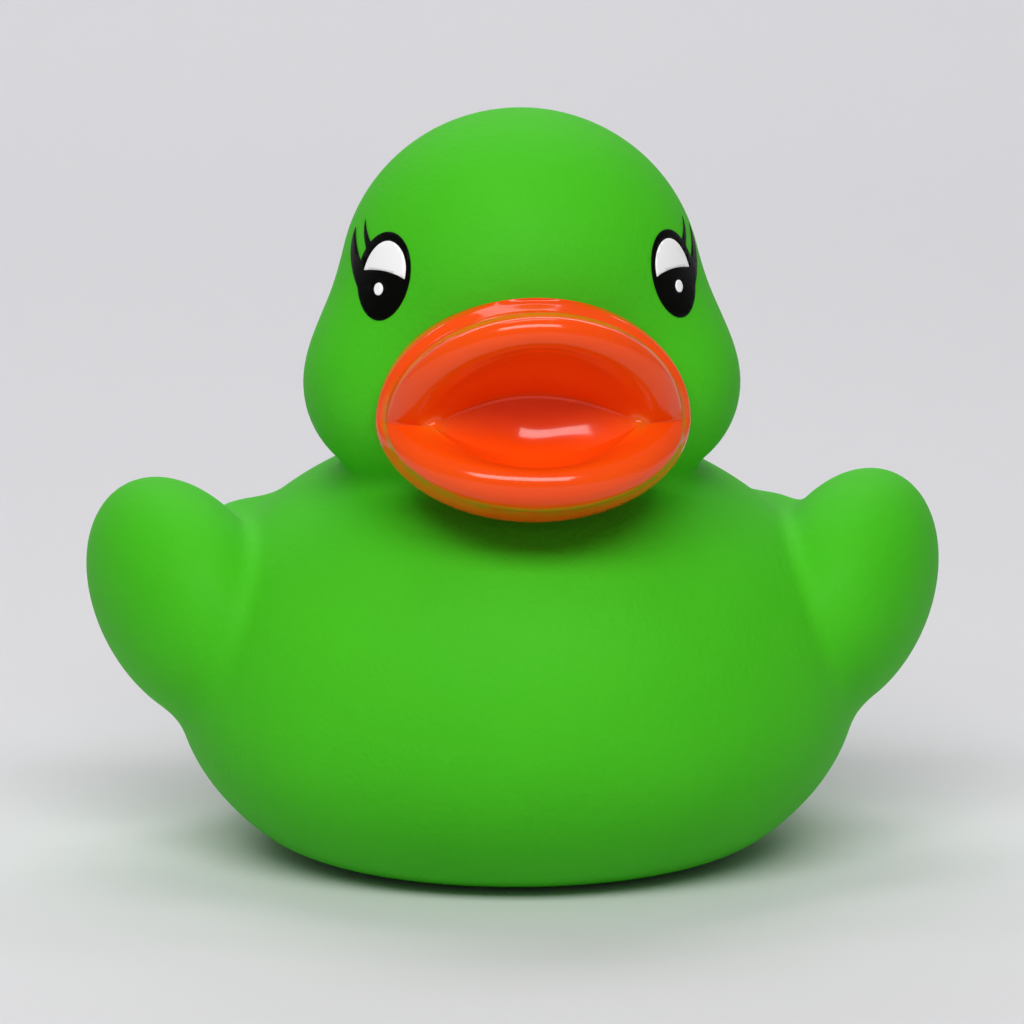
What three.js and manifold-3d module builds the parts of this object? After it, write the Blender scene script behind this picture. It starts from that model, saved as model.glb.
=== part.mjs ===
// Rubber duck: a moulded vinyl bath toy with a painted open bill, printed eyes and a squeaker in its base.
// Millimetres. +Z is up, the duck faces -Y, and X = 0 is its plane of symmetry. It stands on Z = 0.
import * as THREE from "three";
import { mergeVertices } from "three/addons/utils/BufferGeometryUtils.js";
import Module from "manifold-3d";

const wasm = await Module();
wasm.setup();

// Body: an egg that is cut flat below, widest at its waist
const bodyHalfWidth = 34.2;
const bodyFrontReach = 33;
const bodyBackReach = 36;
const waistHeight = 17;
const bodyRise = 26.2;
const bodyDrop = 21;
const baseEdgeSoftness = 3;
const baseSink = 0.25;

// Tail: a short upturned tip that grows out of the back
const tailRadii = new THREE.Vector3(8.5, 11, 7);
const tailInset = 7;
const tailBehind = bodyBackReach - tailInset;
const tailHeight = 30;
const tailPitch = 40;
const tailBlend = 10;

// Head: a round crown over a broad jaw, with a full cheek on each side, all placed from the mouth
const mouthHeight = 46.8;
const crownRadii = new THREE.Vector3(17.8, 18.4, 17.4);
const crownForward = 5;
const crownRise = 10.8;
const crownHeight = mouthHeight + crownRise;
const jawRadii = new THREE.Vector3(15, 15.2, 9.6);
const jawForward = 8;
const jawRise = 1;
const jawHeight = mouthHeight + jawRise;
const cheekRadii = new THREE.Vector3(8.9, 12.5, 9.3);
const cheekOut = 12.6;
const cheekForward = 7;
const cheekRise = 1.5;
const cheekHeight = mouthHeight + cheekRise;
const cheekBlend = 6;
const crownBlend = 5;
const neckBlend = 3;

// Wings: a full lobe that leans outward, on a shoulder that joins it to the back
const wingRadii = new THREE.Vector3(8.7, 15.5, 12.1);
const wingOut = 33;
const wingForward = 1;
const wingHeight = 25.6;
const wingLean = 18.5;
const wingFlare = 16;
const wingPitch = 17.5;
const shoulderRadii = new THREE.Vector3(8.2, 10, 6.1);
const shoulderOut = 25;
const shoulderBack = 9;
const shoulderHeight = 28;
const shoulderBlend = 3;
const wingRootBlend = 3.5;

// Bill: an open beak whose lips stand out from the face, painted from edge to edge
const billHalfWidth = 15.1;
const billRise = 12;
const billDrop = 9.4;
const upperLipReach = 9.6;
const lowerLipReach = 9.1;
const lipRoll = 1.2;
const upperLipThickness = 3.6;
const lipHollow = 1.2;
const lowerLipThickness = 3.6;
const undersideHeight = 2.4;
const cornerInset = 0.6;
const cornerReach = 3;
const cornerPinch = 0.5;
const palateHalfWidth = 10.8;
const mouthHalfWidth = 9.9;
const throatDepth = 13.8;
const throatRise = 2.9;
const hollowFullness = 1.2;
const palateFullness = 1.4;
const wallFullness = 1.7;
const mouthFullness = 2;
const floorSetback = 2.8;
const floorDrop = 3.6;
const floorDish = 0.8;
const billSeat = 5;
const seatRim = 1.1;
const seatShare = 0.8;
const seatRimShare = 0.93;
const mouthSpaceShare = 0.76;
const seatOverlap = 1;
const paintThickness = 0.35;

// Eyes: fields of print, laid out on the front view of the head, leaning towards each other at the top
const eyeOut = 13.9;
const eyeRise = 13.7;
const eyeHeight = mouthHeight + eyeRise;
const eyeLean = 14;
const eyeHalfWidth = 2.3;
const eyeHalfHeight = 4.4;
const whiteHalfWidth = 1.8;
const whiteHeight = 3.3;
const whiteArch = 0.7;
const whiteGap = 0.8;
const glintHalfWidth = 0.5;
const glintHalfHeight = 0.65;
const glintDrop = 1.4;
const lashCurl = 24;
const lashes = [
  { across: 1.1, up: 1.3, angle: 40, length: 3.4, width: 1 },
  { across: 1.4, up: -1.5, angle: 45, length: 5, width: 1.6 },
];
const printThickness = 0.3;

// Squeaker: a flanged insert that is pressed into the base, with a reed inside
const squeakerRadius = 6;
const squeakerHeight = 7;
const flangeRadius = 8;
const flangeThickness = 0.9;
const flangeRecess = 1.5;
const squeakerWall = 1.8;
const airHoleRadius = 1;
const reedThickness = 0.5;
const reedHeight = 3.4;

// Fit
const clearance = 0.3;

// Mesh density
const skinStep = 3;
const billColumns = 36;
const roundColumns = 28;
const solveSteps = 30;
const settleRounds = 4;
const slopeStep = 0.02;
const eyeColumns = 24;
const smallColumns = 12;
const holeColumns = 16;
const arcSteps = 12;
const lashSteps = 4;

const materials = {
  vinyl: new THREE.MeshStandardMaterial({ color: 0x3fb52b, roughness: 0.5, metalness: 0 }),
  paint: new THREE.MeshStandardMaterial({ color: 0xf2520f, roughness: 0.15, metalness: 0 }),
  black: new THREE.MeshStandardMaterial({ color: 0x0a0a0a, roughness: 0.3, metalness: 0 }),
  white: new THREE.MeshStandardMaterial({ color: 0xf4f5f3, roughness: 0.35, metalness: 0 }),
  insert: new THREE.MeshStandardMaterial({ color: 0xe6e3da, roughness: 0.4, metalness: 0 }),
};

const degrees = Math.PI / 180;

// Forms are functions of a point that give about its distance outside a surface, less than zero inside.

function ellipsoidDistance(x, y, z, rx, ry, rz) {
  const near = Math.hypot(x / rx, y / ry, z / rz);
  const slope = Math.hypot(x / rx ** 2, y / ry ** 2, z / rz ** 2) + 1e-9;
  return (near * (near - 1)) / slope;
}

function ellipsoid(centre, radii, turn = new THREE.Euler()) {
  const back = new THREE.Matrix4().makeRotationFromEuler(turn).setPosition(centre).invert();
  return (point) => {
    const local = point.clone().applyMatrix4(back);
    return ellipsoidDistance(local.x, local.y, local.z, radii.x, radii.y, radii.z);
  };
}

function eggForm(point) {
  const z = point.z - waistHeight;
  const reach = point.y < 0 ? bodyFrontReach : bodyBackReach;
  return ellipsoidDistance(point.x, point.y, z, bodyHalfWidth, reach, z > 0 ? bodyRise : bodyDrop);
}

function softUnion(a, b, reach) {
  const overlap = Math.max(reach - Math.abs(a - b), 0) / reach;
  return Math.min(a, b) - (overlap * overlap * reach) / 4;
}

const crown = ellipsoid(new THREE.Vector3(0, -crownForward, crownHeight), crownRadii);
const jaw = ellipsoid(new THREE.Vector3(0, -jawForward, jawHeight), jawRadii);
const leftCheek = ellipsoid(new THREE.Vector3(-cheekOut, -cheekForward, cheekHeight), cheekRadii);
const rightCheek = ellipsoid(new THREE.Vector3(cheekOut, -cheekForward, cheekHeight), cheekRadii);
const tail = ellipsoid(
  new THREE.Vector3(0, tailBehind, tailHeight),
  tailRadii,
  new THREE.Euler(tailPitch * degrees, 0, 0),
);

function headForm(point) {
  const cheek = Math.min(leftCheek(point), rightCheek(point));
  return softUnion(crown(point), softUnion(jaw(point), cheek, cheekBlend), crownBlend);
}

function trunkForm(point) {
  return softUnion(softUnion(eggForm(point), tail(point), tailBlend), headForm(point), neckBlend);
}

function wingForm(side) {
  const lobe = ellipsoid(
    new THREE.Vector3(side * wingOut, -wingForward, wingHeight),
    wingRadii,
    new THREE.Euler(wingPitch * degrees, side * wingLean * degrees, -side * wingFlare * degrees, "ZYX"),
  );
  const shoulder = ellipsoid(
    new THREE.Vector3(side * shoulderOut, shoulderBack, shoulderHeight),
    shoulderRadii,
  );
  return (point) => softUnion(lobe(point), shoulder(point), shoulderBlend);
}

const leftWing = wingForm(-1);
const rightWing = wingForm(1);

// The whole moulding: trunk and wings, with a soft edge round a base that is sunk a little below the ground.
function skinForm(point) {
  const wing = point.x < 0 ? leftWing(point) : rightWing(point);
  const whole = softUnion(trunkForm(point), wing, wingRootBlend);
  return -softUnion(-whole, point.z + baseSink, baseEdgeSoftness);
}

// Distance from a point inside the form, along a direction, at which the form reaches a level.
function reachOf(form, start, direction, level) {
  let inside = 0;
  let outside = bodyHalfWidth * 2;
  const point = new THREE.Vector3();
  for (let step = 0; step < solveSteps; step++) {
    const middle = (inside + outside) / 2;
    point.copy(start).addScaledVector(direction, middle);
    if (form(point) < level) inside = middle;
    else outside = middle;
  }
  return inside;
}

function toManifold(geometry) {
  const bare = geometry.clone();
  bare.deleteAttribute("normal");
  bare.deleteAttribute("uv");
  const merged = mergeVertices(bare, 1e-4);
  return new wasm.Manifold(
    new wasm.Mesh({
      numProp: 3,
      vertProperties: new Float32Array(merged.attributes.position.array),
      triVerts: new Uint32Array(merged.index.array),
    }),
  );
}

function toGeometry(solid) {
  const mesh = solid.getMesh();
  const positions = new Float32Array(mesh.numVert * 3);
  for (let i = 0; i < mesh.numVert; i++) {
    positions.set(mesh.vertProperties.subarray(i * mesh.numProp, i * mesh.numProp + 3), i * 3);
  }
  const geometry = new THREE.BufferGeometry();
  geometry.setAttribute("position", new THREE.BufferAttribute(positions, 3));
  geometry.setIndex(new THREE.BufferAttribute(mesh.triVerts, 1));
  geometry.computeVertexNormals();
  return geometry;
}

// The slope of a form at a point, by small steps to each side.
function slopeOf(form, point) {
  const slope = new THREE.Vector3();
  for (const axis of ["x", "y", "z"]) {
    const ahead = point.clone();
    const behind = point.clone();
    ahead[axis] += slopeStep;
    behind[axis] -= slopeStep;
    slope[axis] = (form(ahead) - form(behind)) / (2 * slopeStep);
  }
  return slope;
}

// Skin of a form: a grid of cells over a box has one point in each cell that the surface crosses.
// Each point is then moved onto the surface, and four cells round a crossed grid edge give two triangles.
function skinOf(form, box, step) {
  const counts = box.getSize(new THREE.Vector3()).divideScalar(step).ceil().addScalar(1);
  const strides = [1, counts.x, counts.x * counts.y];
  const corner = (i, j, k) => new THREE.Vector3(i, j, k).multiplyScalar(step).add(box.min);
  const values = [];
  for (let k = 0; k < counts.z; k++) {
    for (let j = 0; j < counts.y; j++) {
      for (let i = 0; i < counts.x; i++) values.push(form(corner(i, j, k)));
    }
  }
  const cells = new Map();
  const quads = [];
  for (let k = 1; k + 1 < counts.z; k++) {
    for (let j = 1; j + 1 < counts.y; j++) {
      for (let i = 1; i + 1 < counts.x; i++) {
        const here = i * strides[0] + j * strides[1] + k * strides[2];
        for (let axis = 0; axis < 3; axis++) {
          const near = values[here];
          const far = values[here + strides[axis]];
          if (near < 0 === far < 0) continue;
          const crossing = corner(i, j, k);
          crossing.setComponent(axis, crossing.getComponent(axis) + (step * near) / (near - far));
          const u = strides[(axis + 1) % 3];
          const v = strides[(axis + 2) % 3];
          const around = [here, here - u, here - u - v, here - v];
          if (near >= 0) around.reverse();
          for (const cell of around) {
            if (!cells.has(cell)) cells.set(cell, { sum: new THREE.Vector3(), count: 0 });
            cells.get(cell).sum.add(crossing);
            cells.get(cell).count += 1;
          }
          quads.push(around);
        }
      }
    }
  }
  const points = [];
  for (const cell of cells.values()) {
    const point = cell.sum.divideScalar(cell.count);
    for (let round = 0; round < settleRounds; round++) {
      const slope = slopeOf(form, point);
      point.addScaledVector(slope, -form(point) / slope.lengthSq());
    }
    cell.index = points.length;
    points.push(point);
  }
  const faces = [];
  for (const quad of quads) {
    const [a, b, c, d] = quad.map((cell) => cells.get(cell).index);
    if (points[a].distanceTo(points[c]) < points[b].distanceTo(points[d])) faces.push(a, b, c, a, c, d);
    else faces.push(a, b, d, b, c, d);
  }
  const geometry = new THREE.BufferGeometry().setFromPoints(points);
  geometry.setIndex(faces);
  return toManifold(geometry);
}

// Rings of equal length joined into a closed skin between two poles.
function loft(startPole, rings, endPole) {
  const columns = rings[0].length;
  const points = [startPole, ...rings.flat(), endPole];
  const faces = [];
  for (let c = 0; c < columns; c++) {
    const next = (c + 1) % columns;
    faces.push(0, 1 + next, 1 + c);
    for (let r = 0; r + 1 < rings.length; r++) {
      const here = 1 + r * columns;
      const there = here + columns;
      faces.push(here + c, there + next, there + c);
      faces.push(here + c, here + next, there + next);
    }
    const last = 1 + (rings.length - 1) * columns;
    faces.push(last + c, last + next, points.length - 1);
  }
  const geometry = new THREE.BufferGeometry().setFromPoints(points);
  geometry.setIndex(faces);
  return geometry;
}

function cylinder(radius, low, high, segments = roundColumns) {
  const geometry = new THREE.CylinderGeometry(radius, radius, high - low, segments);
  return toManifold(geometry.rotateX(Math.PI / 2).translate(0, 0, (low + high) / 2));
}

// Depth (Y) of the face at a place of the front view.
function faceDepth(x, z, level = 0) {
  const start = new THREE.Vector3(x, -crownForward, z);
  return start.y - reachOf(trunkForm, start, new THREE.Vector3(0, -1, 0), level);
}

// Bill

const faceFront = faceDepth(0, mouthHeight);

// Each ring round the mouth has a half width, and a depth and height at its corners, top and bottom.
// A fullness of 1 gives half ovals that are round at the corners, and 2 gives arches that meet in a point.
function billRing(halfWidth, corner, top, bottom, fullness = 1) {
  const ring = [];
  for (let c = 0; c < billColumns; c++) {
    const angle = (c / billColumns) * 2 * Math.PI;
    const rise = Math.abs(Math.sin(angle)) ** fullness;
    const end = Math.sin(angle) > 0 ? top : bottom;
    ring.push(
      new THREE.Vector3(
        halfWidth * Math.cos(angle),
        corner.depth + (end.depth - corner.depth) * rise,
        corner.height + (end.height - corner.height) * rise,
      ),
    );
  }
  return ring;
}

function place(depth, height) {
  return { depth, height };
}

const billTop = mouthHeight + billRise;
const billBottom = mouthHeight - billDrop;
const lowerRidge = billBottom + undersideHeight;
const upperFront = faceFront - upperLipReach;
const lowerFront = faceFront - lowerLipReach;
const ridgeHalfWidth = billHalfWidth - cornerInset;
const lipHalfWidth = (ridgeHalfWidth + palateHalfWidth) / 2;
const cornerDepth = faceDepth(ridgeHalfWidth, mouthHeight) - cornerReach;
const foldDepth = cornerDepth - cornerReach / 2;
const throat = place(upperFront - lipRoll + throatDepth, mouthHeight + throatRise);
const floorEdge = place(lowerFront - lipRoll + floorSetback, mouthHeight - floorDrop);
const palateLip = place(upperFront + lipRoll / 2, billTop - upperLipThickness);
const floorLip = place(lowerFront, lowerRidge + lowerLipThickness);

const rootRing = billRing(
  billHalfWidth,
  place(0, mouthHeight - cornerInset),
  place(0, billTop),
  place(0, billBottom),
);
for (const point of rootRing) point.y = faceDepth(point.x, point.z, clearance);

const ridgeRing = billRing(
  ridgeHalfWidth,
  place(cornerDepth, mouthHeight),
  place(upperFront, billTop),
  place(lowerFront, lowerRidge),
);
const frontRing = billRing(
  ridgeHalfWidth - lipRoll / 2,
  place(cornerDepth - lipRoll / 2, mouthHeight),
  place(upperFront - lipRoll, billTop - lipRoll),
  place(lowerFront - lipRoll, lowerRidge + lowerLipThickness / 2),
);
const hollowRing = billRing(
  lipHalfWidth,
  place(foldDepth, mouthHeight),
  place(upperFront + lipHollow - lipRoll / 2, (billTop - lipRoll + palateLip.height) / 2),
  place(lowerFront - lipRoll / 2, floorLip.height - lipRoll / 4),
  hollowFullness,
);
const lipRing = billRing(
  palateHalfWidth,
  place(foldDepth - cornerPinch, mouthHeight),
  palateLip,
  floorLip,
  palateFullness,
);
const wallRing = billRing(
  (palateHalfWidth + mouthHalfWidth) / 2,
  place(foldDepth - cornerPinch, mouthHeight),
  place((palateLip.depth + throat.depth) / 2, (palateLip.height + throat.height) / 2 + floorDish / 2),
  place((floorLip.depth + floorEdge.depth) / 2, (floorLip.height + floorEdge.height) / 2),
  wallFullness,
);
const creaseRing = billRing(
  mouthHalfWidth,
  place(foldDepth - cornerPinch, mouthHeight),
  throat,
  floorEdge,
  mouthFullness,
);
const floorMiddle = new THREE.Vector3(
  0,
  (throat.depth + floorEdge.depth) / 2,
  (throat.height + floorEdge.height) / 2 - floorDish,
);
const floorRing = creaseRing.map((point) => {
  const inner = point.clone().lerp(floorMiddle, 0.5);
  inner.z -= floorDish / 4;
  return inner;
});

// From the ridge inward the bill is smooth: each column of it is one curve to the middle of the floor.
const smoothKeys = [ridgeRing, frontRing, hollowRing, lipRing, wallRing, creaseRing, floorRing];
const smoothSteps = smoothKeys.length * 2;
const smoothColumns = ridgeRing.map((_, c) => {
  const points = [...smoothKeys.map((ring) => ring[c]), floorMiddle];
  return new THREE.CatmullRomCurve3(points, false, "centripetal").getPoints(smoothSteps);
});
const bandRing = rootRing.map((point, c) => point.clone().lerp(ridgeRing[c], 0.5));
const billRings = [rootRing, bandRing];
for (let step = 0; step < smoothSteps; step++) billRings.push(smoothColumns.map((column) => column[step]));

// The bill's skin moved inward along its own normals.
function insetRings(inset) {
  const behind = new THREE.Vector3(0, faceFront + billSeat, mouthHeight);
  const geometry = loft(behind, billRings, floorMiddle);
  geometry.computeVertexNormals();
  const normal = geometry.attributes.normal;
  const moved = billRings.map((ring, r) =>
    ring.map((point, c) => {
      const row = Math.max(r, 1);
      const direction = new THREE.Vector3().fromBufferAttribute(normal, 1 + row * billColumns + c);
      return point.clone().addScaledVector(direction, -inset);
    }),
  );
  const pole = new THREE.Vector3().fromBufferAttribute(normal, normal.count - 1);
  return { rings: moved, pole: floorMiddle.clone().addScaledVector(pole, -inset) };
}

// The rings of the seat sit behind the face, within the outline of the bill.
function seatRing(share, level) {
  const middle = new THREE.Vector3(0, 0, mouthHeight);
  return rootRing.map((point) => {
    const x = point.x * share;
    const z = middle.z + (point.z - middle.z) * share;
    return new THREE.Vector3(x, faceDepth(x, z) + level, z);
  });
}

const seatMiddle = new THREE.Vector3(0, faceFront + billSeat, mouthHeight);

function makeBillPaint() {
  const outer = insetRings(0);
  const inner = insetRings(paintThickness);
  for (const point of [...outer.rings[1], ...inner.rings[0], ...inner.rings[1]]) {
    point.y = Math.min(point.y, faceDepth(point.x, point.z, clearance));
  }
  const rings = [...inner.rings.slice().reverse(), ...outer.rings];
  return toManifold(loft(inner.pole, rings, outer.pole));
}

function makeBillCore() {
  const core = insetRings(paintThickness + clearance);
  const seat = seatRing(seatShare, billSeat);
  const rim = seatRing(seatRimShare, seatRim);
  return toManifold(loft(seatMiddle, [seat, rim, ...core.rings], core.pole));
}

// The room in the head's skin for the back of the mouth, within the bill's outline and in front of its seat.
function makeMouthSpace() {
  const depth = billSeat - seatOverlap;
  const back = seatRing(mouthSpaceShare, depth);
  const ahead = upperFront - billHalfWidth;
  const front = back.map((point) => new THREE.Vector3(point.x, ahead, point.z));
  const behind = new THREE.Vector3(0, faceFront + depth, mouthHeight);
  return toManifold(loft(behind, [back, front], new THREE.Vector3(0, ahead, mouthHeight)));
}

// Moulding

function makeDuckBody() {
  const reach = Math.ceil((wingOut + wingRadii.z) / skinStep) * skinStep;
  const room = new THREE.Box3(
    new THREE.Vector3(-reach, -bodyBackReach - skinStep, -baseSink - skinStep * 2),
    new THREE.Vector3(reach, bodyBackReach + tailRadii.y, crownHeight + crownRadii.z + skinStep * 2),
  );
  const ground = new THREE.BoxGeometry(reach * 3, reach * 3, reach).translate(0, 0, -reach / 2);
  const hole = cylinder(squeakerRadius + clearance, -clearance, squeakerHeight + clearance);
  const recess = cylinder(flangeRadius + clearance, -clearance, flangeRecess + clearance);
  return skinOf(skinForm, room, skinStep)
    .subtract(makeMouthSpace())
    .add(makeBillCore())
    .subtract(toManifold(ground))
    .subtract(hole)
    .subtract(recess);
}

// Eyes

// An outline on the front view, turned by the eye's lean and placed on one side of the head.
function onFace(points, side) {
  const turn = eyeLean * degrees;
  return points.map(([across, up]) => [
    side * (eyeOut + across * Math.cos(turn) - up * Math.sin(turn)),
    eyeHeight + across * Math.sin(turn) + up * Math.cos(turn),
  ]);
}

function oval(halfWidth, halfHeight, columns, across = 0, up = 0) {
  return Array.from({ length: columns }, (_, i) => {
    const angle = (i / columns) * 2 * Math.PI;
    return [across + halfWidth * Math.cos(angle), up + halfHeight * Math.sin(angle)];
  });
}

// A pad of print: an outline filled by rings towards its middle, lying a little off the head's skin.
function pad(outline, rings = 2) {
  const middle = outline.reduce(([a, b], [x, z]) => [a + x / outline.length, b + z / outline.length], [0, 0]);
  const layer = (share, level) =>
    outline.map(([x, z]) => {
      const px = middle[0] + (x - middle[0]) * share;
      const pz = middle[1] + (z - middle[1]) * share;
      return new THREE.Vector3(px, faceDepth(px, pz, level), pz);
    });
  const low = clearance;
  const high = clearance + printThickness;
  const levels = [];
  for (let r = 1; r <= rings; r++) levels.push(layer(r / rings, low));
  for (let r = rings; r >= 1; r--) levels.push(layer(r / rings, high));
  const inner = new THREE.Vector3(middle[0], faceDepth(...middle, low), middle[1]);
  const outer = new THREE.Vector3(middle[0], faceDepth(...middle, high), middle[1]);
  const solid = toManifold(loft(inner, levels, outer));
  return solid.volume() > 0 ? solid : toManifold(loft(outer, levels.reverse(), inner));
}

const whiteTop = eyeHalfHeight - whiteGap;

// The white field: a round top over a lower edge that arches upward.
function whiteOutline(grow) {
  const points = [];
  for (let i = 0; i <= arcSteps; i++) {
    const angle = (i / arcSteps) * Math.PI;
    points.push([
      (whiteHalfWidth + grow) * Math.cos(angle),
      whiteTop - whiteHeight + (whiteHeight + grow) * Math.sin(angle),
    ]);
  }
  const base = whiteTop - whiteHeight - grow;
  for (let i = 2; i < arcSteps; i += 2) {
    const share = (i / arcSteps) * 2 - 1;
    points.push([(whiteHalfWidth + grow) * share, base + whiteArch * (1 - share ** 2)]);
  }
  return points;
}

// A lash: a strip that tapers to its tip and curls upward.
function lashOutline(lash) {
  const points = [];
  for (const edge of [1, -1]) {
    for (let i = 0; i <= lashSteps; i++) {
      const along = edge > 0 ? i / lashSteps : 1 - i / lashSteps;
      if (edge < 0 && i === 0) continue;
      const half = (lash.width / 2) * (1 - along) * edge;
      const angle = (lash.angle + lashCurl * along) * degrees;
      points.push([
        lash.across + lash.length * along * Math.cos(angle) - half * Math.sin(angle),
        lash.up + lash.length * along * Math.sin(angle) + half * Math.cos(angle),
      ]);
    }
  }
  return points;
}

function makeEye(side, name) {
  const glint = (grow) => oval(glintHalfWidth + grow, glintHalfHeight + grow, smallColumns, 0, -glintDrop);
  const prism = (outline) => {
    const shape = new THREE.Shape(outline.map(([x, z]) => new THREE.Vector2(x, z)));
    const geometry = new THREE.ExtrudeGeometry(shape, { depth: crownRadii.y * 2, bevelEnabled: false });
    return toManifold(geometry.rotateX(Math.PI / 2));
  };
  let black = pad(onFace(oval(eyeHalfWidth, eyeHalfHeight, eyeColumns), side), 2);
  for (const lash of lashes) black = black.add(pad(onFace(lashOutline(lash), side), 1));
  black = black.subtract(prism(onFace(whiteOutline(clearance), side)));
  black = black.subtract(prism(onFace(glint(clearance), side)));
  return [
    ["eye_black_" + name, black, materials.black],
    ["eye_white_" + name, pad(onFace(whiteOutline(0), side)), materials.white],
    ["eye_glint_" + name, pad(onFace(glint(0), side), 1), materials.white],
  ];
}

// Squeaker

function makeSqueakerBody() {
  const low = flangeRecess - flangeThickness;
  const top = squeakerHeight;
  const profile = [
    [airHoleRadius, low],
    [flangeRadius, low],
    [flangeRadius, low + flangeThickness],
    [squeakerRadius, low + flangeThickness],
    [squeakerRadius, top],
    [squeakerRadius - squeakerWall, top],
    [squeakerRadius - squeakerWall, reedHeight],
    [squeakerRadius - 2 * squeakerWall, reedHeight],
    [squeakerRadius - 2 * squeakerWall, low + squeakerWall],
    [airHoleRadius, low + squeakerWall],
    [airHoleRadius, low],
  ].map(([x, y]) => new THREE.Vector2(x, y));
  return toManifold(new THREE.LatheGeometry(profile, roundColumns).rotateX(Math.PI / 2));
}

function makeSqueakerReed() {
  const low = reedHeight + clearance;
  const radius = squeakerRadius - squeakerWall - clearance;
  const airHole = cylinder(airHoleRadius, low - clearance, low + reedThickness + clearance, holeColumns);
  return cylinder(radius, low, low + reedThickness).subtract(airHole);
}

const pieces = [
  ["duck_body", makeDuckBody(), materials.vinyl],
  ["bill_paint", makeBillPaint(), materials.paint],
  ...makeEye(-1, "left"),
  ...makeEye(1, "right"),
  ["squeaker_body", makeSqueakerBody(), materials.insert],
  ["squeaker_reed", makeSqueakerReed(), materials.insert],
];

const duck = new THREE.Group();
for (const [name, solid, material] of pieces) {
  const mesh = new THREE.Mesh(toGeometry(solid), material);
  mesh.name = name;
  duck.add(mesh);
}

// The origin lies on the ground under the middle of the toy's length.
const bounds = new THREE.Box3().setFromObject(duck);
for (const mesh of duck.children) mesh.position.y = -(bounds.min.y + bounds.max.y) / 2;

export default duck;
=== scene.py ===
import math

import bpy
import numpy as np
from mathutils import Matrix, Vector
from mathutils.geometry import delaunay_2d_cdt


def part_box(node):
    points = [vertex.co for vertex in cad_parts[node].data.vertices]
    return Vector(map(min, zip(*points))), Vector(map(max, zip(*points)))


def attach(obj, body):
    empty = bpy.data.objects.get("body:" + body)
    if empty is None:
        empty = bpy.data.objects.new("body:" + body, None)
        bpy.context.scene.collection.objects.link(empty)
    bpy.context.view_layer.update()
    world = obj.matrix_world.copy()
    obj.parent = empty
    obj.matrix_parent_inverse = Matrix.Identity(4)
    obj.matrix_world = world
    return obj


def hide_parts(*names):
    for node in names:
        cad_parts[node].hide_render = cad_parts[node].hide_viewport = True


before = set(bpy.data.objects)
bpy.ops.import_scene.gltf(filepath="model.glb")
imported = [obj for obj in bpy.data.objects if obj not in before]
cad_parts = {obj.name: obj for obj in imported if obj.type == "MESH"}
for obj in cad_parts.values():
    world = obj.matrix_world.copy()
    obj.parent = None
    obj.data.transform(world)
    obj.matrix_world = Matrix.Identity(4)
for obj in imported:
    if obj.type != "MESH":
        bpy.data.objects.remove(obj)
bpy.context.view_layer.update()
print("frame loaded")

mm = 0.001

# The moulding's forms, in millimetres before the shift that centres its length on the origin.
duckForm = {
    "bodyHalfWidth": 34.2, "bodyFront": 33, "bodyBack": 36,
    "waistHeight": 17, "bodyRise": 26.2, "bodyDrop": 22.2, "baseEdge": 3, "baseSink": 0.25,
    "tailCentre": (0, 29, 30), "tailRadii": (8.5, 11, 7), "tailPitch": 40, "tailBlend": 10,
    "crownCentre": (0, -5, 57.6), "crownRadii": (17.8, 18.4, 17.4), "crownBlend": 5,
    "jawCentre": (0, -8, 47.8), "jawRadii": (15, 15.2, 9.6),
    "cheekCentre": (12.6, -7, 48.3), "cheekRadii": (8.9, 12.5, 9.3), "cheekBlend": 6,
    "neckBlend": 3,
    "wingCentre": (33, -1, 25.6), "wingRadii": (8.7, 15.5, 12.1),
    "wingPitch": 17.5, "wingLean": 18.5, "wingFlare": 16,
    "shoulderCentre": (25, 9, 28), "shoulderRadii": (8.2, 10, 6.1), "shoulderBlend": 3,
    "wingRootBlend": 1.8,
    "holeRadius": 6.3, "holeDepth": 7.3, "holeEdge": 0.2,
    "recessRadius": 8.3, "recessDepth": 1.8, "recessEdge": 0.4,
    "pocketShare": 0.8, "pocketSlope": 8, "pocketPast": 4, "pocketEdge": 0.2,
    "gridLow": (-45.1, -38.1, -2.13), "gridHigh": (45, 42, 77), "gridStep": 0.75,
}


def turnMatrix(pitch=0, lean=0, flare=0):
    # Turns about X first, then Y, then Z.
    a, b, c = (math.radians(v) for v in (pitch, lean, flare))
    rx = np.array([[1, 0, 0], [0, math.cos(a), -math.sin(a)], [0, math.sin(a), math.cos(a)]])
    ry = np.array([[math.cos(b), 0, math.sin(b)], [0, 1, 0], [-math.sin(b), 0, math.cos(b)]])
    rz = np.array([[math.cos(c), -math.sin(c), 0], [math.sin(c), math.cos(c), 0], [0, 0, 1]])
    return rz @ ry @ rx


def ellipsoid(points, centre, radii, turn=None):
    # About the distance outside an ellipsoid, and below zero inside it.
    local = points - np.array(centre, float)
    if turn is not None:
        local = local @ turn
    radii = np.array(radii, float)
    near = np.sqrt(((local / radii) ** 2).sum(-1))
    slope = np.sqrt(((local / radii ** 2) ** 2).sum(-1)) + 1e-9
    return near * (near - 1) / slope


def softUnion(a, b, reach):
    # What is in a or b, with a fillet where they are within reach of each other.
    overlap = np.maximum(reach - np.abs(a - b), 0) / reach
    return np.minimum(a, b) - overlap * overlap * reach / 4


def softCut(a, b, reach):
    # What is in a and outside b.
    return -softUnion(-a, b, reach)


def bothSides(points):
    # Brings the left side onto the right, so that a form there serves for both.
    folded = points.copy()
    folded[..., 0] = np.abs(folded[..., 0])
    return folded


def headForm(points):
    f = duckForm
    face = softUnion(
        ellipsoid(points, f["jawCentre"], f["jawRadii"]),
        ellipsoid(bothSides(points), f["cheekCentre"], f["cheekRadii"]),
        f["cheekBlend"],
    )
    return softUnion(ellipsoid(points, f["crownCentre"], f["crownRadii"]), face, f["crownBlend"])


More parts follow.
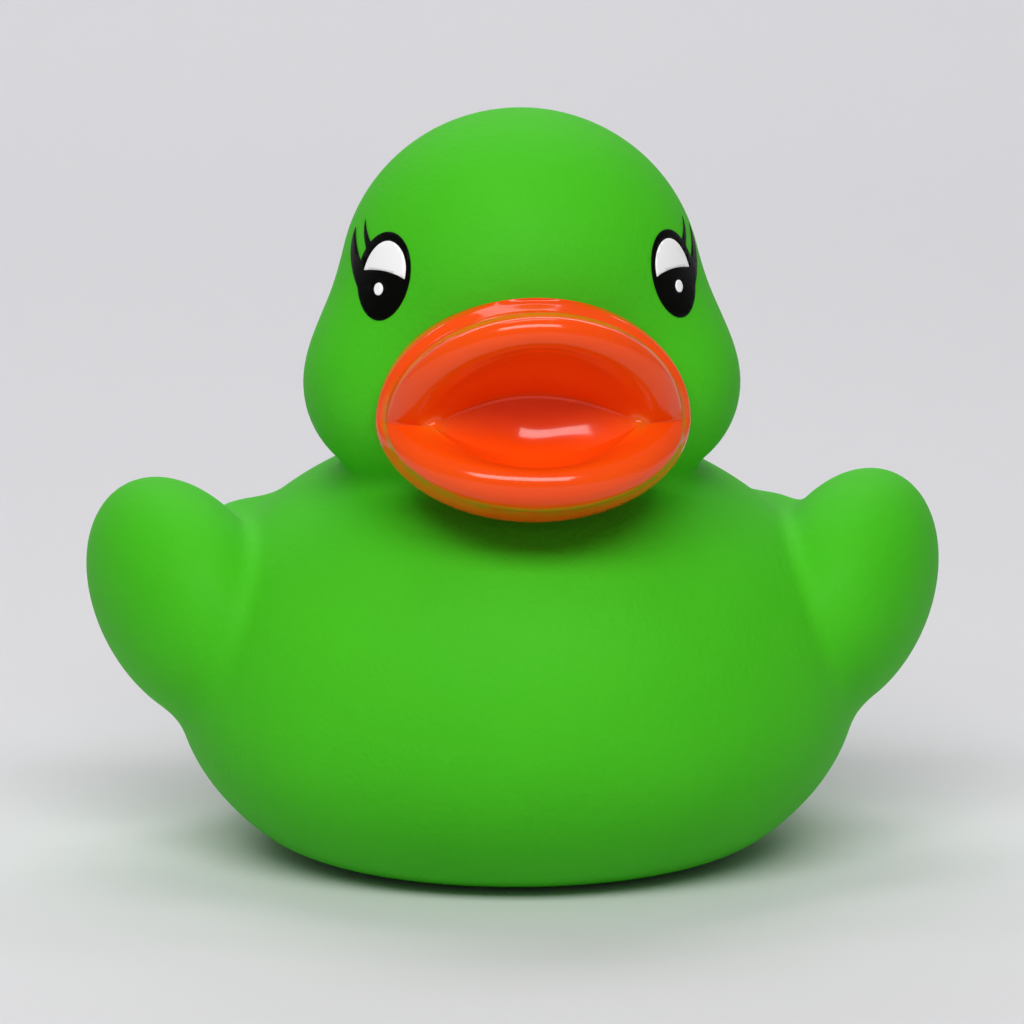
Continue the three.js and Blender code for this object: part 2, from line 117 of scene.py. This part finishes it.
def trunkForm(points):
    f = duckForm
    radii = np.empty_like(points)
    radii[..., 0] = f["bodyHalfWidth"]
    radii[..., 1] = np.where(points[..., 1] < 0, f["bodyFront"], f["bodyBack"])
    radii[..., 2] = np.where(points[..., 2] > f["waistHeight"], f["bodyRise"], f["bodyDrop"])
    egg = ellipsoid(points, (0, 0, f["waistHeight"]), radii)
    tail = ellipsoid(points, f["tailCentre"], f["tailRadii"], turnMatrix(pitch=f["tailPitch"]))
    return softUnion(softUnion(egg, tail, f["tailBlend"]), headForm(points), f["neckBlend"])


def wingForm(points):
    f = duckForm
    folded = bothSides(points)
    turn = turnMatrix(f["wingPitch"], f["wingLean"], -f["wingFlare"])
    lobe = ellipsoid(folded, f["wingCentre"], f["wingRadii"], turn)
    shoulder = ellipsoid(folded, f["shoulderCentre"], f["shoulderRadii"])
    return softUnion(lobe, shoulder, f["shoulderBlend"])


def skinForm(points):
    f = duckForm
    whole = softUnion(trunkForm(points), wingForm(points), f["wingRootBlend"])
    return softCut(whole, points[..., 2] + f["baseSink"], f["baseEdge"])


def faceDepth(x, z, level=0.0, reach=60, rounds=36):
    # The depth at which the head's skin, or a level off it, lies at a place of the front view.
    x, z = np.broadcast_arrays(np.asarray(x, float), np.asarray(z, float))
    inside = np.full(x.shape, duckForm["crownCentre"][1], float)
    outside = inside - reach
    for _ in range(rounds):
        middle = (inside + outside) / 2
        isIn = trunkForm(np.stack([x, middle, z], -1)) < level
        inside = np.where(isIn, middle, inside)
        outside = np.where(isIn, outside, middle)
    return inside


# Bill: rings round the mouth, outermost first. Each has a half width, a reach forward of the face and a rise
# above the mouth's corners for its top and its bottom, and a fullness that grows as its corners sharpen.
billForm = {
    "mouthHeight": 46.8, "cornerInset": 0.6, "cornerReach": 3, "cornerFold": 0.4,
    "rootHalfWidth": 15.1, "rootRise": 12, "rootDrop": 8.4,
    "swell": {"halfWidth": 15.0, "top": (0.1, 11.7), "bottom": (2.0, -9.35), "fullness": 1.0},
    "ridge": {"halfWidth": 14.3, "top": (1.3, 10.9), "bottom": (8.2, -7.1), "fullness": 1.0},
    "brow": {"halfWidth": 14.0, "top": (7.6, 11.5), "bottom": (8.8, -6.6), "fullness": 1.0},
    "crest": {"halfWidth": 13.5, "top": (9.1, 11.1), "bottom": (9.4, -5.6), "fullness": 1.0},
    "front": {"halfWidth": 12.9, "top": (9.58, 10.1), "bottom": (9.5, -4.4), "fullness": 1.05},
    "lip": {"halfWidth": 12.0, "top": (9.2, 8.9), "bottom": (8.9, -3.4), "fullness": 1.2},
    "hollow": {"halfWidth": 11.2, "top": (6.8, 7.9), "bottom": (7.8, -3.15), "fullness": 1.5},
    "vault": {"halfWidth": 10.6, "top": (2.4, 6.2), "bottom": (6.9, -3.3), "fullness": 1.8},
    "crease": {"halfWidth": 9.9, "top": (-1.6, 2.5), "bottom": (6.4, -3.8), "fullness": 2.0},
    "rootLevel": 0.02, "floorDish": 3.0, "dishDirection": (0, 0.5, -0.87),
    "seat": 6.5, "seatShare": 0.86, "tucks": ((0.97, 0.6), (0.93, 1.2)),
    "columns": 240, "bandSteps": 20, "lipSteps": 72, "floorSteps": 16,
}

# Where the enamel is thin: rows across the ridge, and millimetres round the inner corners of the mouth.
thinForm = {
    "ridgeRows": 3.5, "ridgeBelow": 0.85, "ridgeFade": 2.2,
    "cornerShare": 0.25, "cornerReach": 1.3, "cornerFlatten": 1.5, "cornerRowsIn": 12,
}

faceFront = float(faceDepth(0.0, billForm["mouthHeight"]))


def billRing(halfWidth, corner, top, bottom, fullness=1.0):
    # A fullness of 1 gives half ovals, and 2 gives arches that meet in a point at the corners.
    angle = np.arange(billForm["columns"]) / billForm["columns"] * 2 * math.pi
    rise = np.abs(np.sin(angle))[:, None] ** fullness
    end = np.where(np.sin(angle)[:, None] > 0, np.array(top, float), np.array(bottom, float))
    rest = np.array(corner, float) + (end - np.array(corner, float)) * rise
    return np.column_stack([halfWidth * np.cos(angle), rest])


def centripetalCurve(keys, steps):
    # A smooth curve through each column's keys, as rows of points; keys is (count, columns, 3).
    keys = np.concatenate([2 * keys[:1] - keys[1:2], keys, 2 * keys[-1:] - keys[-2:-1]])
    gaps = np.maximum(np.linalg.norm(np.diff(keys, axis=0), axis=-1) ** 0.5, 1e-4)
    rows = []
    count = len(keys) - 3
    for step in range(steps):
        along = step / steps * count
        k = min(int(along), count - 1)
        w = along - k
        p0, p1, p2, p3 = keys[k:k + 4]
        g0, g1, g2 = (gaps[k + j][:, None] for j in range(3))
        m1 = ((p1 - p0) / g0 - (p2 - p0) / (g0 + g1) + (p2 - p1) / g1) * g1
        m2 = ((p2 - p1) / g1 - (p3 - p1) / (g1 + g2) + (p3 - p2) / g2) * g1
        rows.append(
            (2 * w ** 3 - 3 * w ** 2 + 1) * p1 + (w ** 3 - 2 * w ** 2 + w) * m1
            + (3 * w ** 2 - 2 * w ** 3) * p2 + (w ** 3 - w ** 2) * m2
        )
    return rows


def billRings():
    f = billForm
    mouth = f["mouthHeight"]
    root = billRing(
        f["rootHalfWidth"], (0, mouth - f["cornerInset"]),
        (0, mouth + f["rootRise"]), (0, mouth - f["rootDrop"]),
    )
    root[:, 1] = faceDepth(root[:, 0], root[:, 2], f["rootLevel"])
    cornerDepth = float(faceDepth(f["ridge"]["halfWidth"], mouth)) - f["cornerReach"]
    inner = []
    names = ("swell", "ridge", "brow", "crest", "front", "lip", "hollow", "vault", "crease")
    for fold, name in enumerate(names):
        ring = f[name]
        top, bottom = ((faceFront - reach, mouth + rise) for reach, rise in (ring["top"], ring["bottom"]))
        corner = (cornerDepth - (fold - 1) * f["cornerFold"], mouth)
        inner.append(billRing(ring["halfWidth"], corner, top, bottom, ring["fullness"]))
    swell, ridge, crease = inner[0], inner[1], inner[-1]
    # The ridge and the crease round the floor are sharp, so the band and the lips are curves of their own.
    band = centripetalCurve(np.array([root, swell, ridge]), f["bandSteps"])
    lips = centripetalCurve(np.array(inner[1:]), f["lipSteps"])
    # The floor is a plane inside the crease, bent to meet it and dished in the middle.
    back, fore = crease[f["columns"] // 4], crease[f["columns"] * 3 // 4]
    middle, along = (back + fore) / 2, (back - fore) / 2
    rise = np.sin(np.arange(f["columns"]) / f["columns"] * 2 * math.pi)
    flat = middle + (rise * np.abs(rise) ** (f["crease"]["fullness"] - 1))[:, None] * along
    flat[:, 0] = crease[:, 0]
    dish = f["floorDish"] * np.array(f["dishDirection"])
    bed = []
    for row in range(f["floorSteps"]):
        share = 1 - row / f["floorSteps"]
        bent = middle + (flat - middle) * share + (crease - flat) * share ** 2
        bed.append(bent + dish * (1 - share ** 2))
    return band + lips + bed, middle + dish


# The squeaker stands on the forms' origin, so its middle gives the shift.
shift = (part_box("squeaker_body")[0].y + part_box("squeaker_body")[1].y) / 2 / mm
print("shift", round(shift, 3), "mm")


def toScene(points):
    # Millimetres of the forms to metres of the frame.
    return (np.asarray(points, float) + np.array([0, shift, 0])) * mm


def newPiece(name, points, faces, slot=None, replaced=()):
    # A piece of the duck, given with a slot, hangs from the root body and hides the nodes that it stands for.
    # The backdrop has neither.
    mesh = bpy.data.meshes.new(name)
    mesh.from_pydata([tuple(p) for p in points], [], [tuple(int(i) for i in face) for face in faces])
    mesh.validate()
    mesh.update()
    mesh.polygons.foreach_set("use_smooth", [True] * len(mesh.polygons))
    piece = bpy.data.objects.new(name, mesh)
    bpy.context.scene.collection.objects.link(piece)
    if slot:
        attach(piece, "root")
        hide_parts(*replaced)
    return piece


# Body: the forms are sampled on a grid, meshed where they change sign, and each point moved onto the form.

def mouldingForm(points):
    f = duckForm
    b = billForm
    radial = np.hypot(points[..., 0], points[..., 1])
    hole = np.maximum(radial - f["holeRadius"], points[..., 2] - f["holeDepth"])
    recess = np.maximum(radial - f["recessRadius"], points[..., 2] - f["recessDepth"])
    solid = softCut(skinForm(points), hole, f["holeEdge"])
    solid = softCut(solid, recess, f["recessEdge"])
    # A pocket in the face takes the back of the bill, inside the bill's root.
    rise = points[..., 2] - b["mouthHeight"]
    share = f["pocketShare"]
    span = np.where(rise > 0, b["rootRise"], b["rootDrop"]) * share
    around = np.hypot(points[..., 0] / (b["rootHalfWidth"] * share), rise / span)
    pocketBack = faceFront + b["seat"] + f["pocketPast"]
    pocket = np.maximum((around - 1) * f["pocketSlope"], points[..., 1] - pocketBack)
    return np.maximum(softCut(solid, pocket, f["pocketEdge"]), -points[..., 2])


def surfaceNets(form, low, high, step, slabs=16):
    # One point in each grid cell that the form's surface crosses, and a quad round each crossed edge.
    axes = [np.arange(low[i], high[i] + step, step) for i in range(3)]
    grid = np.stack(np.meshgrid(*axes, indexing="ij"), -1)
    value = np.concatenate([form(slab) for slab in np.array_split(grid, slabs)])
    inside = value < 0
    shape = np.array(value.shape)
    cellSum = np.zeros(tuple(shape - 1) + (3,))
    cellCount = np.zeros(tuple(shape - 1))
    crossings = []
    for axis in range(3):
        first = [slice(None)] * 3
        second = [slice(None)] * 3
        first[axis] = slice(None, -1)
        second[axis] = slice(1, None)
        a, b = value[tuple(first)], value[tuple(second)]
        hit = (a < 0) != (b < 0)
        at = np.argwhere(hit)
        share = a[hit] / (a[hit] - b[hit])
        point = at.astype(float)
        point[:, axis] += share
        crossings.append((axis, at, inside[tuple(first)][hit]))
        others = [i for i in range(3) if i != axis]
        for du in (0, -1):
            for dv in (0, -1):
                cell = at.copy()
                cell[:, others[0]] += du
                cell[:, others[1]] += dv
                np.add.at(cellSum, tuple(cell.T), point)
                np.add.at(cellCount, tuple(cell.T), 1)
    used = cellCount > 0
    index = np.full(cellCount.shape, -1)
    index[used] = np.arange(used.sum())
    points = cellSum[used] / cellCount[used][:, None] * step + np.array(low, float)
    faces = []
    for axis, at, isIn in crossings:
        u, v = [(1, 2), (2, 0), (0, 1)][axis]
        corners = []
        for du, dv in ((0, 0), (-1, 0), (-1, -1), (0, -1)):
            cell = at.copy()
            cell[:, u] += du
            cell[:, v] += dv
            corners.append(index[tuple(cell.T)])
        quad = np.stack(corners, -1)
        quad[~isIn] = quad[~isIn][:, ::-1]
        faces.append(quad)
    return points, np.concatenate(faces)


def slopeOf(form, points, h=0.02):
    steps = np.eye(3) * h
    return np.stack([(form(points + s) - form(points - s)) / (2 * h) for s in steps], -1)


def ontoForm(form, points, rounds=4, most=0.5, flattest=0.04):
    for _ in range(rounds):
        slope = slopeOf(form, points)
        size = np.maximum((slope ** 2).sum(-1, keepdims=True), flattest)
        move = -form(points)[:, None] * slope / size
        length = np.linalg.norm(move, axis=-1, keepdims=True)
        points = points + move * np.minimum(1, most / np.maximum(length, 1e-9))
    return points


points, faces = surfaceNets(mouldingForm, duckForm["gridLow"], duckForm["gridHigh"], duckForm["gridStep"])
points = ontoForm(mouldingForm, points)
duckBody = newPiece("duck_moulding", toScene(points), faces, "green_vinyl", ["duck_body"])
print("moulding made:", len(faces), "quads")


def loftFaces(rows, columns):
    faces = []
    for row in range(rows - 1):
        here = row * columns
        for c in range(columns):
            n = (c + 1) % columns
            faces.append((here + c, here + n, here + columns + n, here + columns + c))
    return faces


def makeBill():
    f = billForm
    rings, middle = billRings()
    root = rings[0]
    mouth = f["mouthHeight"]
    # Rings behind the root, each a share of its size and a depth behind the skin, close the bill's back.
    back = []
    for share, depth in (*f["tucks"], (f["seatShare"], f["seat"])):
        ring = root.copy()
        ring[:, 0] *= share
        ring[:, 2] = mouth + (ring[:, 2] - mouth) * share
        ring[:, 1] = faceDepth(ring[:, 0], ring[:, 2]) + depth
        back.insert(0, ring)
    allRings = back + rings
    columns = f["columns"]
    points = np.concatenate(allRings + [np.array([[0, faceFront + f["seat"], mouth]]), middle[None]])
    faces = loftFaces(len(allRings), columns)
    backPole, frontPole = len(points) - 2, len(points) - 1
    rise = np.sin(np.arange(columns) / columns * 2 * math.pi)
    ridgeRow = len(back) + f["bandSteps"]
    # The coat is thin along the ridge, except over the top, and in the corners of the mouth.
    t = thinForm
    onRidge = np.where(rise < 0, t["ridgeBelow"], np.clip(1.0 - t["ridgeFade"] * rise, 0, 1))
    thin = np.zeros(len(points))
    innerCorner = f["crease"]["halfWidth"]
    for row, ring in enumerate(allRings):
        offRidge = (row - ridgeRow) / t["ridgeRows"]
        reach = np.hypot(np.abs(ring[:, 0]) - innerCorner, (ring[:, 2] - mouth) * t["cornerFlatten"])
        isInside = row > ridgeRow + t["cornerRowsIn"]
        inside = np.exp(-(reach / t["cornerReach"]) ** 2) if isInside else 0
        start = row * columns
        thin[start:start + columns] = np.maximum(np.exp(-offRidge ** 2) * onRidge, t["cornerShare"] * inside)
    last = (len(allRings) - 1) * columns
    for c in range(columns):
        n = (c + 1) % columns
        faces.append((n, c, backPole))
        faces.append((last + c, last + n, frontPole))
    piece = newPiece("bill_coat", toScene(points), faces, "orange_paint", ["bill_paint"])
    piece.data.attributes.new("thinCoat", "FLOAT", "POINT").data.foreach_set("value", thin)
    return piece


bill = makeBill()
print("bill made")


# Eyes: each field is cut from one flat layout, laid on the head and given the thickness of ink.
# Across runs outward from the middle of the eye, up runs along it, and the lean turns both.

eyeForm = {
    "out": 14.0, "height": 60.05, "lean": 14,
    "halfWidth": 2.28, "halfHeight": 4.25,
    "whiteHalfWidth": 1.8, "whiteHeight": 3.3, "whiteArch": 0.4, "whiteGap": 0.85, "whiteTilt": 0.17,
    "glintHalfWidth": 0.4, "glintHalfHeight": 0.6, "glintOut": 0.22, "glintDrop": 1.35,
    "lashCurl": 24,
    "lashes": (
        {"across": 1.1, "up": 1.3, "angle": 40, "length": 3.4, "width": 1.0},
        {"across": 1.4, "up": -1.5, "angle": 45, "length": 5.0, "width": 1.6},
    ),
    "inkBase": 0.01, "inkHeight": 0.05,
    "ovalPoints": 96, "glintPoints": 40, "archPoints": 48, "lidPoints": 26, "lashPoints": 16,
    "gridStep": 0.35, "mergeWithin": 1e-5,
}


def onFace(outline, side):
    turn = math.radians(eyeForm["lean"])
    outline = np.array(outline, float)
    across, up = outline[:, 0], outline[:, 1]
    x = side * (eyeForm["out"] + across * math.cos(turn) - up * math.sin(turn))
    z = eyeForm["height"] + across * math.sin(turn) + up * math.cos(turn)
    return np.column_stack([x, z])


def ovalOutline(halfWidth, halfHeight, across, up, count):
    angle = np.arange(count) / count * 2 * math.pi
    return np.column_stack([across + halfWidth * np.cos(angle), up + halfHeight * np.sin(angle)])


def whiteOutline():
    f = eyeForm
    base = f["halfHeight"] - f["whiteGap"] - f["whiteHeight"]
    angle = np.linspace(0, math.pi, f["archPoints"])
    across = f["whiteHalfWidth"] * np.cos(angle)
    tilt = f["whiteTilt"] * across * (1 - np.sin(angle))
    top = np.column_stack([across, base - tilt + f["whiteHeight"] * np.sin(angle)])
    share = np.linspace(-1, 1, f["lidPoints"])[1:-1]
    across = f["whiteHalfWidth"] * share
    low = np.column_stack([across, base - f["whiteTilt"] * across + f["whiteArch"] * (1 - share ** 2)])
    return np.concatenate([top, low])


def lashOutline(lash):
    # A hair that narrows to a point and curls upward.
    sides = []
    for edge in (1, -1):
        along = np.linspace(0, 1, eyeForm["lashPoints"])
        if edge < 0:
            along = along[::-1][1:]
        half = lash["width"] / 2 * (1 - along) * edge
        angle = np.radians(lash["angle"] + eyeForm["lashCurl"] * along)
        reach = lash["length"] * along
        sides.append(np.column_stack([
            lash["across"] + reach * np.cos(angle) - half * np.sin(angle),
            lash["up"] + reach * np.sin(angle) + half * np.cos(angle),
        ]))
    return np.concatenate(sides)


def makeEye(side, name):
    f = eyeForm
    outlines = [
        ovalOutline(f["halfWidth"], f["halfHeight"], 0, 0, f["ovalPoints"]),
        *[lashOutline(lash) for lash in f["lashes"]],
        whiteOutline(),
        ovalOutline(
            f["glintHalfWidth"], f["glintHalfHeight"], f["glintOut"], -f["glintDrop"], f["glintPoints"]
        ),
    ]
    whiteFace, glintFace = len(outlines) - 2, len(outlines) - 1
    flat, loops = [], []
    for outline in outlines:
        placed = onFace(outline, side)
        if side < 0:
            placed = placed[::-1]
        start = len(flat)
        flat.extend(Vector(p) for p in placed)
        loops.append(list(range(start, len(flat))))
    everything = np.array([tuple(p) for p in flat])
    for x in np.arange(everything[:, 0].min(), everything[:, 0].max(), f["gridStep"]):
        for z in np.arange(everything[:, 1].min(), everything[:, 1].max(), f["gridStep"]):
            flat.append(Vector((x, z)))
    verts, _, tris, _, _, origin = delaunay_2d_cdt(flat, [], loops, 1, f["mergeWithin"])
    fields = {"black": [], "white": [], "glint": []}
    for tri, owners in zip(tris, origin):
        kind = "white" if whiteFace in owners else "glint" if glintFace in owners else "black"
        fields[kind].append(tri)
    pieces = []
    for kind, chosen in fields.items():
        used = sorted({i for tri in chosen for i in tri})
        at = {v: i for i, v in enumerate(used)}
        xz = np.array([tuple(verts[i]) for i in used])
        count = len(used)
        layers = []
        for level in (f["inkBase"], f["inkHeight"]):
            layers.append(np.column_stack([xz[:, 0], faceDepth(xz[:, 0], xz[:, 1], level), xz[:, 1]]))
        faces, edges = [], {}
        for tri in chosen:
            a, b, c = (at[i] for i in tri)
            p, q, r = (layers[1][i] for i in (a, b, c))
            if np.cross(q - p, r - p)[1] > 0:
                b, c = c, b
            faces.append((a + count, b + count, c + count))
            faces.append((a, c, b))
            for e in ((a, b), (b, c), (c, a)):
                edges[e] = edges.get(e, 0) + 1
        for (a, b) in edges:
            if (b, a) not in edges:
                faces.append((a, b, b + count, a + count))
        slot = "black_print" if kind == "black" else "white_print"
        node = "eye_" + kind + "_" + name
        piece = newPiece("print_" + kind + "_" + name, toScene(np.concatenate(layers)), faces, slot, [node])
        pieces.append(piece)
    return pieces


leftEye = makeEye(-1, "left")
rightEye = makeEye(1, "right")
print("eyes made")


# Materials

def linearColor(hexCode):
    # From sRGB, as a picture shows it, to the shader's linear values.
    values = [int(hexCode[i:i + 2], 16) / 255 for i in (0, 2, 4)]
    return tuple(v / 12.92 if v <= 0.04045 else ((v + 0.055) / 1.055) ** 2.4 for v in values) + (1.0,)


def newMaterial(name):
    material = bpy.data.materials.new(name)
    material.use_nodes = True
    nodes = material.node_tree.nodes
    nodes.clear()
    shader = nodes.new("ShaderNodeBsdfPrincipled")
    output = nodes.new("ShaderNodeOutputMaterial")
    material.node_tree.links.new(shader.outputs["BSDF"], output.inputs["Surface"])
    return material, shader


def addNode(material, kind, settings=None, links=None):
    # Adds a node, sets its properties and inputs, and links its inputs from other nodes' outputs.
    node = material.node_tree.nodes.new(kind)
    for key, value in (settings or {}).items():
        if isinstance(key, str) and hasattr(node, key):
            setattr(node, key, value)
        else:
            node.inputs[key].default_value = value
    for key, socket in (links or {}).items():
        material.node_tree.links.new(socket, node.inputs[key])
    return node


def addNoise(material, place, sizeMm, detail):
    settings = {"Scale": 1 / (sizeMm * mm), "Detail": detail}
    return addNode(material, "ShaderNodeTexNoise", settings, {"Vector": place.outputs["Object"]})


def addTint(material, place, look, detail):
    # Two close shades of one colour in soft clouds.
    cloud = addNoise(material, place, look["cloudMm"], detail)
    return addNode(
        material, "ShaderNodeMixRGB",
        {"Color1": linearColor(look["deep"]), "Color2": linearColor(look["color"])},
        {"Fac": cloud.outputs["Fac"]},
    )


def setSurface(material, shader, look, color, bump):
    material.node_tree.links.new(color.outputs["Color"], shader.inputs["Base Color"])
    material.node_tree.links.new(bump.outputs["Normal"], shader.inputs["Normal"])
    shader.inputs["Roughness"].default_value = look["roughness"]
    shader.inputs["IOR"].default_value = look["refraction"]
    shader.inputs["Specular IOR Level"].default_value = look["sheen"]


vinylLook = {
    "color": "48C21E", "deep": "40B719", "roughness": 0.6, "sheen": 0.1,
    "refraction": 1.5, "cloudMm": 16, "grainMm": 0.5, "grainDepthMm": 0.09, "grainShare": 0.7,
    "grainStrength": 0.6, "dimpleMm": 1.3,
}


def mouldedVinyl():
    # Soft PVC cast in an etched mould: broad dull highlights, a fine leathery grain and faintly uneven green.
    material, shader = newMaterial("moulded_green_vinyl")
    look = vinylLook
    place = addNode(material, "ShaderNodeTexCoord")
    tint = addTint(material, place, look, detail=3.0)
    grain = addNode(
        material, "ShaderNodeTexVoronoi", {"feature": "SMOOTH_F1", "Scale": 1 / (look["grainMm"] * mm)},
        {"Vector": place.outputs["Object"]},
    )
    dimple = addNoise(material, place, look["dimpleMm"], detail=2.0)
    height = addNode(
        material, "ShaderNodeMath", {"operation": "MULTIPLY_ADD", 1: look["grainShare"]},
        {0: grain.outputs["Distance"], 2: dimple.outputs["Fac"]},
    )
    bump = addNode(
        material, "ShaderNodeBump",
        {"Strength": look["grainStrength"], "Distance": look["grainDepthMm"] * mm},
        {"Height": height.outputs["Value"]},
    )
    setSurface(material, shader, look, tint, bump)
    return material


paintLook = {
    "color": "FB5208", "deep": "F24805", "thin": "9A8A14", "roughness": 0.16, "sheen": 0.16, "coat": 0.35,
    "coatRoughness": 0.06, "refraction": 1.5, "cloudMm": 9, "streakMm": 1.6,
    "streakFrom": 0.3, "streakTo": 0.6, "streakLeast": 0.25,
    "waveMm": 3.5, "waveDepthMm": 0.02, "waveStrength": 0.5,
}


def sprayedEnamel():
    # Glossy orange enamel: wet highlights, and an olive cast where the coat is thin over the green vinyl.
    material, shader = newMaterial("sprayed_orange_enamel")
    look = paintLook
    place = addNode(material, "ShaderNodeTexCoord")
    tint = addTint(material, place, look, detail=2.0)
    thin = addNode(material, "ShaderNodeAttribute", {"attribute_name": "thinCoat"})
    streak = addNoise(material, place, look["streakMm"], detail=3.0)
    patchy = addNode(
        material, "ShaderNodeMapRange",
        {"From Min": look["streakFrom"], "From Max": look["streakTo"], "To Min": look["streakLeast"]},
        {"Value": streak.outputs["Fac"]},
    )
    share = addNode(
        material, "ShaderNodeMath", {"operation": "MULTIPLY"},
        {0: thin.outputs["Fac"], 1: patchy.outputs["Result"]},
    )
    coat = addNode(
        material, "ShaderNodeMixRGB", {"Color2": linearColor(look["thin"])},
        {"Fac": share.outputs["Value"], "Color1": tint.outputs["Color"]},
    )
    wave = addNoise(material, place, look["waveMm"], detail=1.0)
    bump = addNode(
        material, "ShaderNodeBump", {"Strength": look["waveStrength"], "Distance": look["waveDepthMm"] * mm},
        {"Height": wave.outputs["Fac"]},
    )
    setSurface(material, shader, look, coat, bump)
    shader.inputs["Coat Weight"].default_value = look["coat"]
    shader.inputs["Coat Roughness"].default_value = look["coatRoughness"]
    return material


satinLook = {
    "filmMm": 0.9, "smoothest": 0.35, "roughest": 0.5,
    "black": ("040503", 0.05), "white": ("FFFFFE", 0.3), "natural": ("E6E3DA", 0.5),
}


def satinSurface(name, kind):
    # An even satin surface with a colour and a sheen of its own: pad-printed ink, or plain polyethylene.
    material, shader = newMaterial(name)
    look = satinLook
    hexCode, sheen = look[kind]
    place = addNode(material, "ShaderNodeTexCoord")
    film = addNoise(material, place, look["filmMm"], detail=2.0)
    rough = addNode(
        material, "ShaderNodeMapRange", {"To Min": look["smoothest"], "To Max": look["roughest"]},
        {"Value": film.outputs["Fac"]},
    )
    material.node_tree.links.new(rough.outputs["Result"], shader.inputs["Roughness"])
    shader.inputs["Base Color"].default_value = linearColor(hexCode)
    shader.inputs["Specular IOR Level"].default_value = sheen
    return material


vinyl = mouldedVinyl()
enamel = sprayedEnamel()
blackInk = satinSurface("pad_printed_black", "black")
whiteInk = satinSurface("pad_printed_white", "white")
natural = satinSurface("natural_polyethylene", "natural")

duckBody.data.materials.append(vinyl)
bill.data.materials.append(enamel)
for eye in (leftEye, rightEye):
    for piece, ink in zip(eye, (blackInk, whiteInk, whiteInk)):
        piece.data.materials.append(ink)
for node in ("squeaker_body", "squeaker_reed"):
    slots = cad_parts[node].data.materials
    slots.clear()
    slots.append(natural)
print("materials made")


# Stage, light and camera

# The camera, in millimetres: the span is the width that the picture shows at the duck.
view = {
    "azimuth": -4.3, "elevation": 10, "distance": 560, "height": 34, "aside": -0.45, "span": 102.4,
    "sensor": 36, "farthest": 20000,
}


def lookDirections():
    azimuth, elevation = math.radians(view["azimuth"]), math.radians(view["elevation"])
    back = Vector((
        math.sin(azimuth) * math.cos(elevation), -math.cos(azimuth) * math.cos(elevation), math.sin(elevation)
    ))
    right = Vector((0, 0, 1)).cross(back).normalized()
    return back, right


def makeCamera():
    back, right = lookDirections()
    target = right * view["aside"] + Vector((0, shift, view["height"]))
    data = bpy.data.cameras.new("camera")
    data.sensor_width = view["sensor"]
    data.lens = view["sensor"] * view["distance"] / view["span"]
    data.clip_end = view["farthest"] * mm
    camera = bpy.data.objects.new("camera", data)
    camera.location = (target + back * view["distance"]) * mm
    camera.rotation_euler = back.to_track_quat("Z", "Y").to_euler()
    bpy.context.scene.collection.objects.link(camera)
    bpy.context.scene.camera = camera


# A sweep of paper, in metres: a floor, a bend and a wall behind.
stageForm = {
    "halfWidth": 3.0, "front": -3.0, "bendStart": 0.6, "bendRadius": 0.5, "bendSteps": 24, "wallTop": 3.0,
    "color": "DBDADD", "roughness": 0.9,
}


def makeStage():
    f = stageForm
    radius = f["bendRadius"]
    profile = [(f["front"], 0.0), (f["bendStart"], 0.0)]
    for i in range(1, f["bendSteps"] + 1):
        angle = i / f["bendSteps"] * math.pi / 2
        profile.append((f["bendStart"] + radius * math.sin(angle), radius * (1 - math.cos(angle))))
    profile.append((f["bendStart"] + radius, f["wallTop"]))
    points, faces = [], []
    for y, z in profile:
        points.extend([(-f["halfWidth"], y, z), (f["halfWidth"], y, z)])
    for i in range(len(profile) - 1):
        faces.append((2 * i, 2 * i + 1, 2 * i + 3, 2 * i + 2))
    stage = newPiece("backdrop", points, faces)
    # Plain backdrop paper, matte and even.
    material, shader = newMaterial("matte_grey_paper")
    shader.inputs["Base Color"].default_value = linearColor(f["color"])
    shader.inputs["Roughness"].default_value = f["roughness"]
    stage.data.materials.append(material)


# Softboxes, in metres and watts, and the even light of the room.
lamps = {
    "overhead_softbox": {"place": (-0.04, 0.2, 0.78), "aim": (0, 0, 0.05), "size": (0.4, 0.2), "watts": 1.0},
    "front_softbox": {"place": (-0.1, -0.78, 0.8), "aim": (0, 0, 0.04), "size": (0.95, 0.34), "watts": 9.6},
    "backdrop_wash": {"place": (0, 1.0, 1.1), "aim": (0, 1.3, 0), "size": (1.8, 0.4), "watts": 9.5},
}
room = {"color": (0.8, 0.8, 0.81, 1), "strength": 0.25}


def makeLight(name, lamp):
    data = bpy.data.lights.new(name, "AREA")
    data.shape = "RECTANGLE"
    data.size, data.size_y = lamp["size"]
    data.energy = lamp["watts"]
    light = bpy.data.objects.new(name, data)
    light.location = lamp["place"]
    back = Vector(lamp["place"]) - Vector(lamp["aim"])
    light.rotation_euler = back.to_track_quat("Z", "Y").to_euler()
    bpy.context.scene.collection.objects.link(light)


def makeRoom():
    world = bpy.data.worlds.new("studio")
    bpy.context.scene.world = world
    world.use_nodes = True
    background = world.node_tree.nodes["Background"]
    background.inputs["Color"].default_value = room["color"]
    background.inputs["Strength"].default_value = room["strength"]


makeCamera()
makeStage()
for lampName, lamp in lamps.items():
    makeLight(lampName, lamp)
makeRoom()
bpy.context.scene.view_settings.view_transform = "Standard"
print("stage made")
